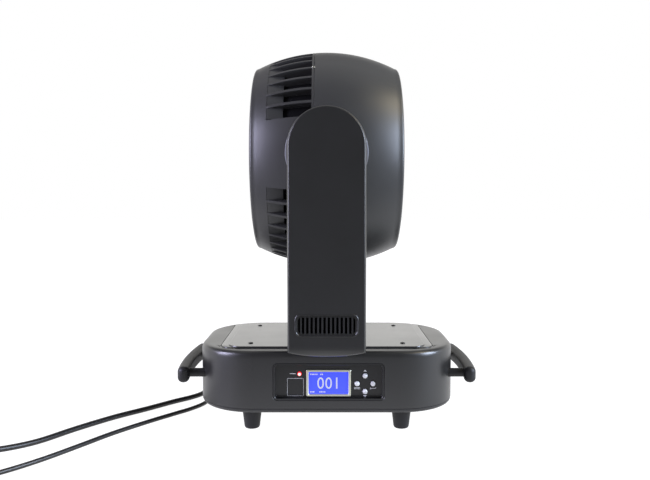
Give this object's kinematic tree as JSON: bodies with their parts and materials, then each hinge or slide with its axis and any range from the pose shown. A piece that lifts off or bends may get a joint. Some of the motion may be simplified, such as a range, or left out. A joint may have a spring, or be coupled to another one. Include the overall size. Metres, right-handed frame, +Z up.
{
  "type": "moving head light",
  "caption": "LED wash moving head light with a panning yoke, tilting barrel head, sliding zoom lens carrier, control panel base, side handles and two leads.",
  "frame": {"origin": "on the floor under the pan axis, at the middle of the underside of the object without its leads", "axes": "+X along the beam at rest, -Y out of the control panel, +Z up along the pan axis"},
  "size_m": [0.77, 0.578, 0.514],
  "materials": {
    "base_plastic": "satin moulded black plastic with a very fine grain",
    "head_plastic": "satin charcoal plastic, smooth",
    "yoke_plastic": "satin black plastic, smooth",
    "deck_paint": "semi-gloss black powder coat on sheet steel",
    "pan_paint": "black powder coat on sheet steel",
    "panel_plastic": "matt dark recess moulding",
    "bezel_silver": "silver painted plastic frame",
    "lcd": "backlit blue display",
    "circuit_board": "green circuit board with soldered parts",
    "button_plastic": "light grey domed caps",
    "grip_plastic": "black moulded grip",
    "foot_rubber": "black rubber",
    "psu_steel": "zinc-plated sheet case",
    "motor_black": "black stepper motor with bare end caps",
    "alu_turned": "bare turned aluminium",
    "belt_rubber": "black toothed belt",
    "socket_plastic": "black glass-filled nylon",
    "steel_turned": "bright turned steel",
    "frame_steel": "zinc-plated steel sheet",
    "pivot_cast": "silver-grey painted casting",
    "screw_steel": "blackened and bright screws",
    "heatsink_alu": "extruded aluminium fins",
    "board_white": "white solder mask board with yellow-white emitters",
    "fan_plastic": "black fan moulding",
    "carrier_plastic": "black lens plate",
    "lens_clear": "clear moulded lenses",
    "screw_brass": "brass lead screw",
    "lead_pvc": "black PVC sheath",
    "plug_plastic": "black moulded plug",
    "connector_metal": "nickel-plated round connector"
  },
  "bodies": {
    "base": {"bottom_pan": "pan_paint", "base_shell": "base_plastic", "deck_plate": "deck_paint", "deck_screws": "screw_steel", "bearing_deck": "alu_turned", "control_panel": "panel_plastic", "lcd_bezel": "bezel_silver", "lcd_screen": "lcd", "control_board": "circuit_board", "handle_left": "grip_plastic", "handle_right": "grip_plastic", "foot_fl": "foot_rubber", "foot_fr": "foot_rubber", "foot_rl": "foot_rubber", "foot_rr": "foot_rubber", "power_supply": "psu_steel", "pan_motor": "motor_black", "pan_belt": "belt_rubber", "rear_panel": "pan_paint", "mains_gland": "socket_plastic", "signal_sockets": "socket_plastic", "mains_lead": "lead_pvc", "mains_coil": "lead_pvc", "mains_plug": "plug_plastic", "signal_plug": "connector_metal", "signal_lead": "lead_pvc", "signal_coil": "lead_pvc", "signal_end": "connector_metal"},
    "yoke": {"pan_shaft": "steel_turned", "pan_pulley": "alu_turned", "yoke_frame": "frame_steel", "yoke_cover": "yoke_plastic", "arm_cover_near": "yoke_plastic", "arm_cover_far": "yoke_plastic", "tilt_motor": "motor_black", "tilt_belt": "belt_rubber"},
    "head": {"trunnion_near": "pivot_cast", "trunnion_far": "pivot_cast", "tilt_pulley": "alu_turned", "rear_shell": "head_plastic", "front_shell": "head_plastic", "shell_screws": "screw_steel", "front_ring": "carrier_plastic", "head_chassis": "alu_turned", "heatsink": "heatsink_alu", "led_board": "board_white", "fan_frame": "fan_plastic", "guide_rods": "steel_turned", "zoom_motors": "motor_black"},
    "pan_pinion": {"pan_pinion": "alu_turned"},
    "tilt_pinion": {"tilt_pinion": "alu_turned"},
    "fan": {"fan_rotor": "fan_plastic"},
    "zoom_carriage": {"zoom_carrier": "carrier_plastic", "zoom_lenses": "lens_clear"},
    "zoom_screw_a": {"zoom_screw_a": "screw_brass"},
    "zoom_screw_b": {"zoom_screw_b": "screw_brass"},
    "button_up": {"button_up": "button_plastic"},
    "button_down": {"button_down": "button_plastic"},
    "button_left": {"button_left": "button_plastic"},
    "button_right": {"button_right": "button_plastic"}
  },
  "joints": [
    {"name": "pan", "type": "hinge", "parent": "base", "child": "yoke", "pos_m": [0, 0, 0.12], "axis": [0, 0, 1], "range_deg": [-270, 270]},
    {"name": "tilt", "type": "hinge", "parent": "yoke", "child": "head", "pos_m": [0, 0, 0.365], "axis": [0, -1, 0], "range_deg": [-45, 225]},
    {"name": "pan_pinion_spin", "type": "hinge", "parent": "base", "child": "pan_pinion", "pos_m": [-0.105, 0, 0.08], "axis": [0, 0, 1], "range_deg": [-1400, 1400]},
    {"name": "tilt_pinion_spin", "type": "hinge", "parent": "yoke", "child": "tilt_pinion", "pos_m": [0, -0.187, 0.157], "axis": [0, -1, 0], "range_deg": [-200, 960]},
    {"name": "fan_spin", "type": "hinge", "parent": "head", "child": "fan", "pos_m": [-0.085, 0, 0.365], "axis": [1, 0, 0], "continuous": true},
    {"name": "zoom", "type": "slide", "parent": "head", "child": "zoom_carriage", "axis": [1, 0, 0], "range_m": [-0.022, 0]},
    {"name": "zoom_screw_a_spin", "type": "hinge", "parent": "head", "child": "zoom_screw_a", "pos_m": [0, 0.09353, 0.419], "axis": [1, 0, 0], "range_deg": [-2000, 10]},
    {"name": "zoom_screw_b_spin", "type": "hinge", "parent": "head", "child": "zoom_screw_b", "pos_m": [0, -0.09353, 0.311], "axis": [1, 0, 0], "range_deg": [-2000, 10]},
    {"name": "press_up", "type": "slide", "parent": "base", "child": "button_up", "axis": [0, 1, 0], "range_m": [0, 0.0008], "stiffness_N_per_m": 600},
    {"name": "press_down", "type": "slide", "parent": "base", "child": "button_down", "axis": [0, 1, 0], "range_m": [0, 0.0008], "stiffness_N_per_m": 600},
    {"name": "press_left", "type": "slide", "parent": "base", "child": "button_left", "axis": [0, 1, 0], "range_m": [0, 0.0008], "stiffness_N_per_m": 600},
    {"name": "press_right", "type": "slide", "parent": "base", "child": "button_right", "axis": [0, 1, 0], "range_m": [0, 0.0008], "stiffness_N_per_m": 600}
  ],
  "couplings": [
    {"joint": "pan_pinion_spin", "follows": "pan", "ratio": 5.1667},
    {"joint": "tilt_pinion_spin", "follows": "tilt", "ratio": 4.2222},
    {"joint": "zoom_screw_a_spin", "follows": "zoom", "rad_per_m": 1570.8},
    {"joint": "zoom_screw_b_spin", "follows": "zoom", "rad_per_m": 1570.8}
  ]
}
